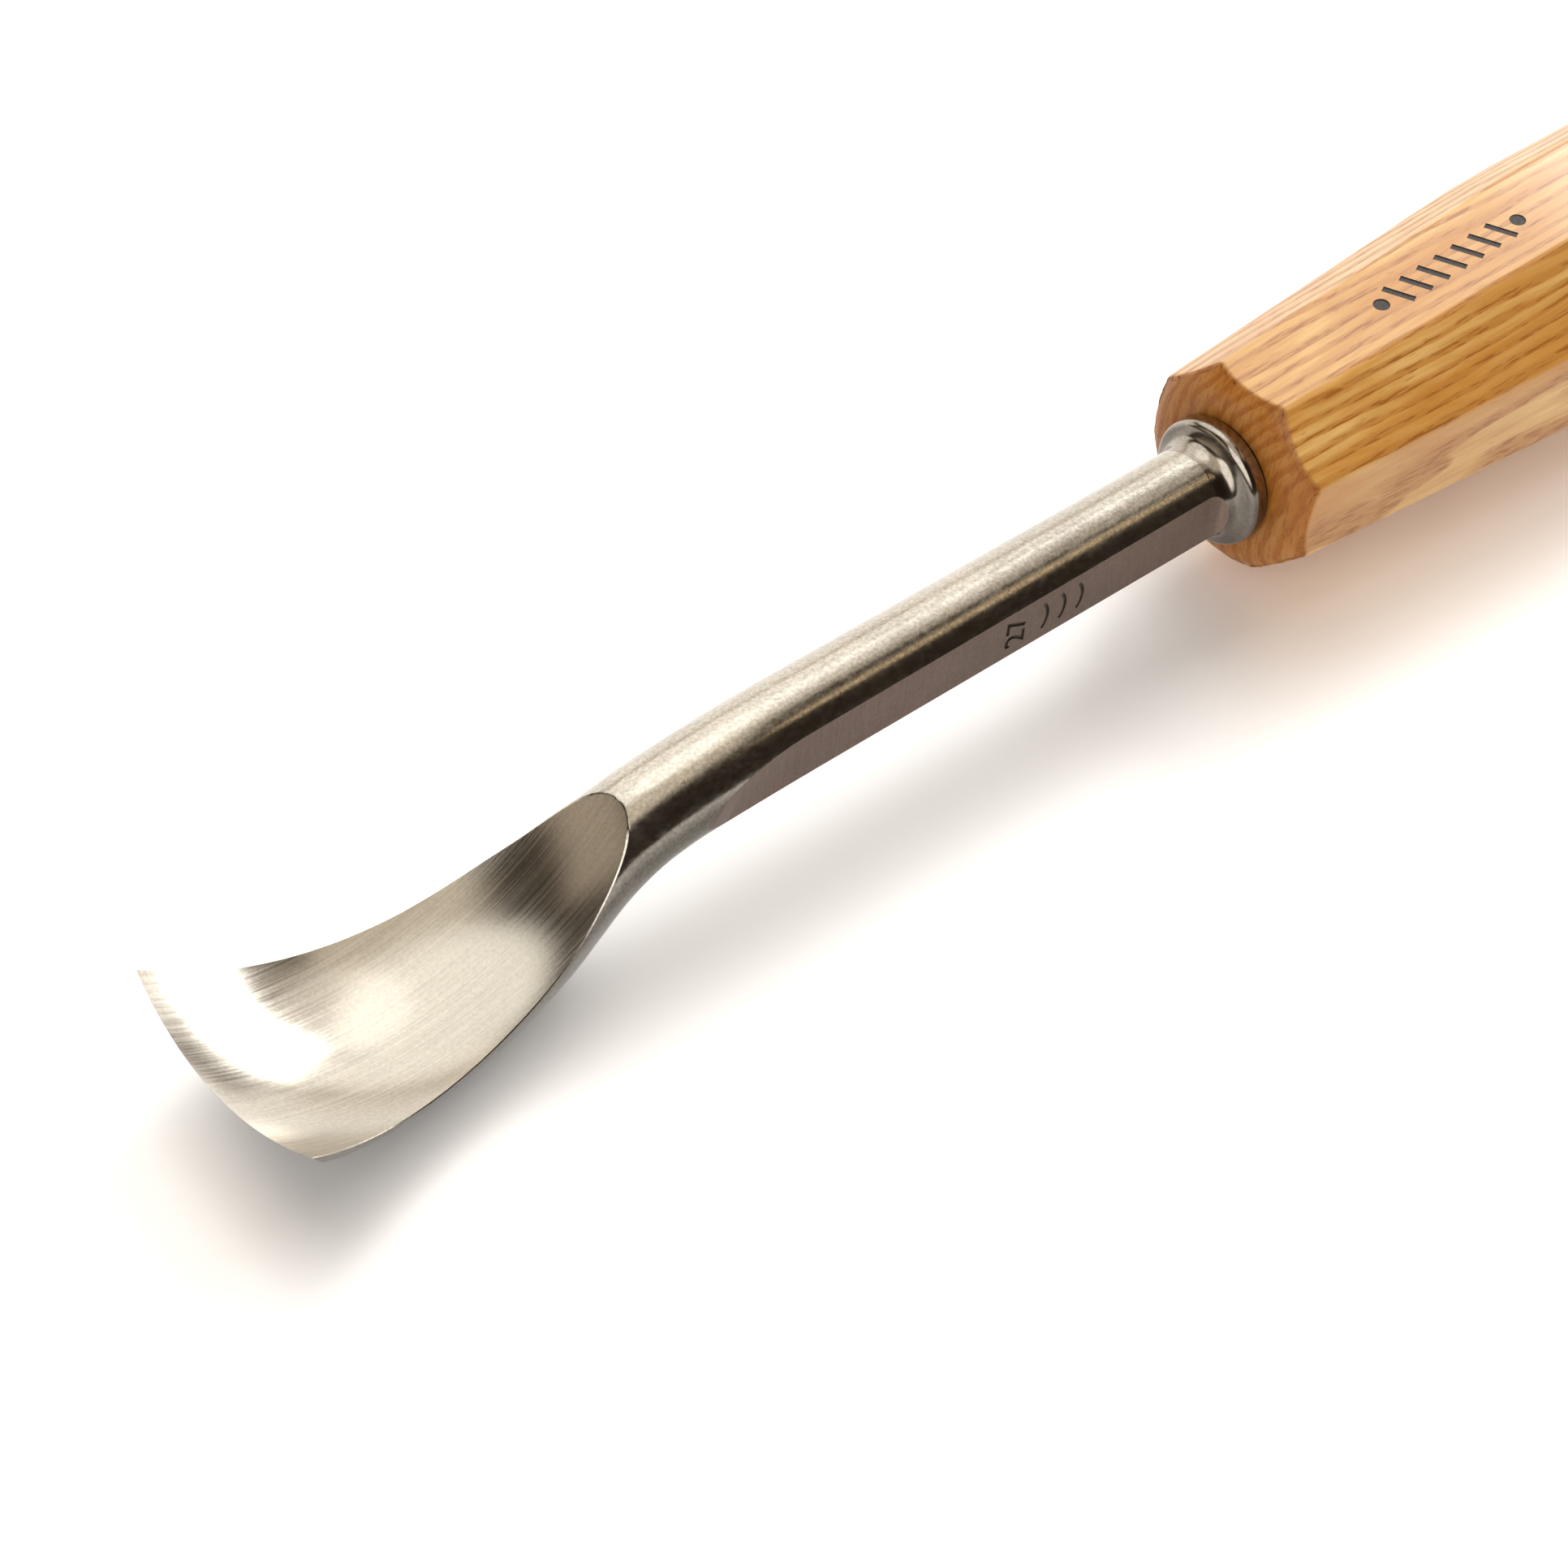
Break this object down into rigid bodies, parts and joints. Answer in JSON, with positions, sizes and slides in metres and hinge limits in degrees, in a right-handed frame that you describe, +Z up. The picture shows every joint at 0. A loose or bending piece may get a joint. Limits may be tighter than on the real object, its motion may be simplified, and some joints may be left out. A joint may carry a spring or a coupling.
{
  "type": "carving gouge",
  "caption": "Spoon-bent carving gouge: a swept steel blade on a round shank with ground side flats and a bolster, set in an octagonal wooden handle.",
  "frame": {"origin": "middle of the tool's length and width, on the bench that it lies on", "axes": "+X along the tool from the cutting edge to the butt of the handle, +Z up with the hollow of the blade facing up"},
  "size_m": [0.2559, 0.028, 0.028],
  "materials": {
    "tool_steel": "forged and ground tool steel, satin, with a polished hollow",
    "oiled_ash": "straight-grained ash under a thin satin lacquer",
    "ferrule_steel": "plain drawn steel tube"
  },
  "bodies": {
    "root": {"blade": "tool_steel", "handle": "oiled_ash", "ferrule": "ferrule_steel"}
  },
  "joints": []
}
